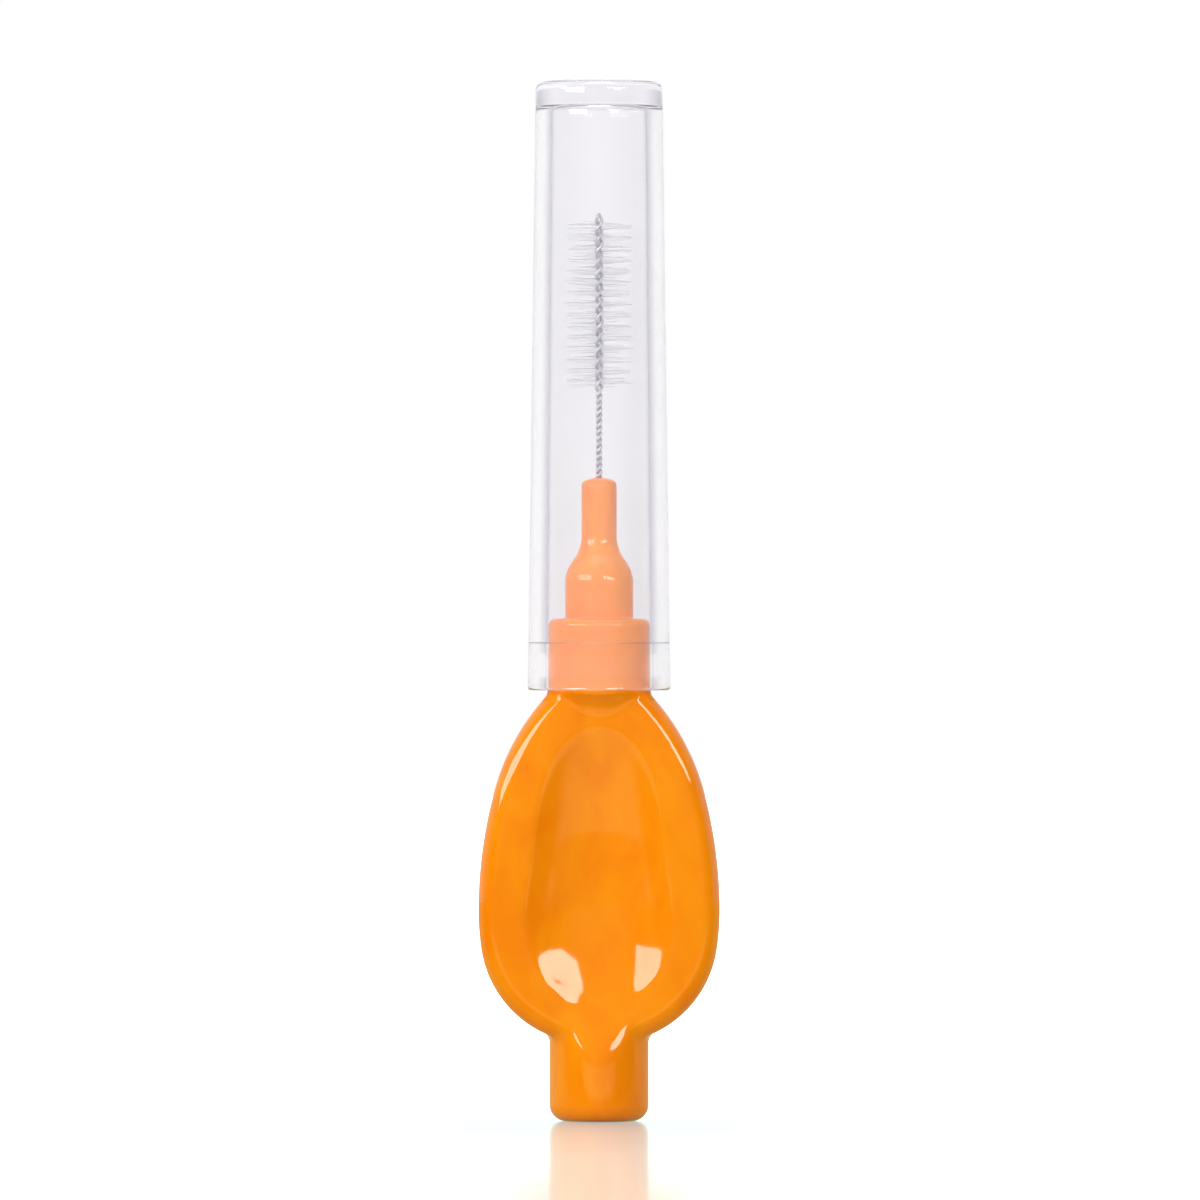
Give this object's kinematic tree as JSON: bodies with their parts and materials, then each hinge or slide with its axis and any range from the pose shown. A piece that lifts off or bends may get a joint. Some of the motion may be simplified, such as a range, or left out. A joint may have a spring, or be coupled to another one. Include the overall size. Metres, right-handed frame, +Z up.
{
  "type": "interdental brush",
  "caption": "Interdental brush: an opaque dished paddle handle with a twisted-wire bristle head in its nose, under a clear tapered pull-off travel cap.",
  "frame": {"origin": "centre of the flat foot of the handle's round post, on the brush's axis", "axes": "+Z up the handle's axis towards the bristles and the closed end of the cap, +Y through the paddle from its front dish to its back dish, +X across the paddle"},
  "size_m": [0.016, 0.0096, 0.0693],
  "materials": {
    "orange_moulding": "gloss",
    "stem_wire": "satin",
    "clear_cap": "gloss",
    "bristle_nylon": "matte"
  },
  "bodies": {
    "handle": {"handle": "orange_moulding", "twisted_wire": "stem_wire", "bristle_row_01": "bristle_nylon", "bristle_row_02": "bristle_nylon", "bristle_row_03": "bristle_nylon", "bristle_row_04": "bristle_nylon", "bristle_row_05": "bristle_nylon", "bristle_row_06": "bristle_nylon", "bristle_row_07": "bristle_nylon", "bristle_row_08": "bristle_nylon", "bristle_row_09": "bristle_nylon", "bristle_row_10": "bristle_nylon", "bristle_row_11": "bristle_nylon", "bristle_row_12": "bristle_nylon", "bristle_row_13": "bristle_nylon", "bristle_row_14": "bristle_nylon", "bristle_row_15": "bristle_nylon"},
    "cap": {"cap": "clear_cap"}
  },
  "joints": [
    {"name": "cap_pull", "type": "slide", "parent": "handle", "child": "cap", "axis": [0, 0, 1], "range_m": [0, 0.036]}
  ]
}
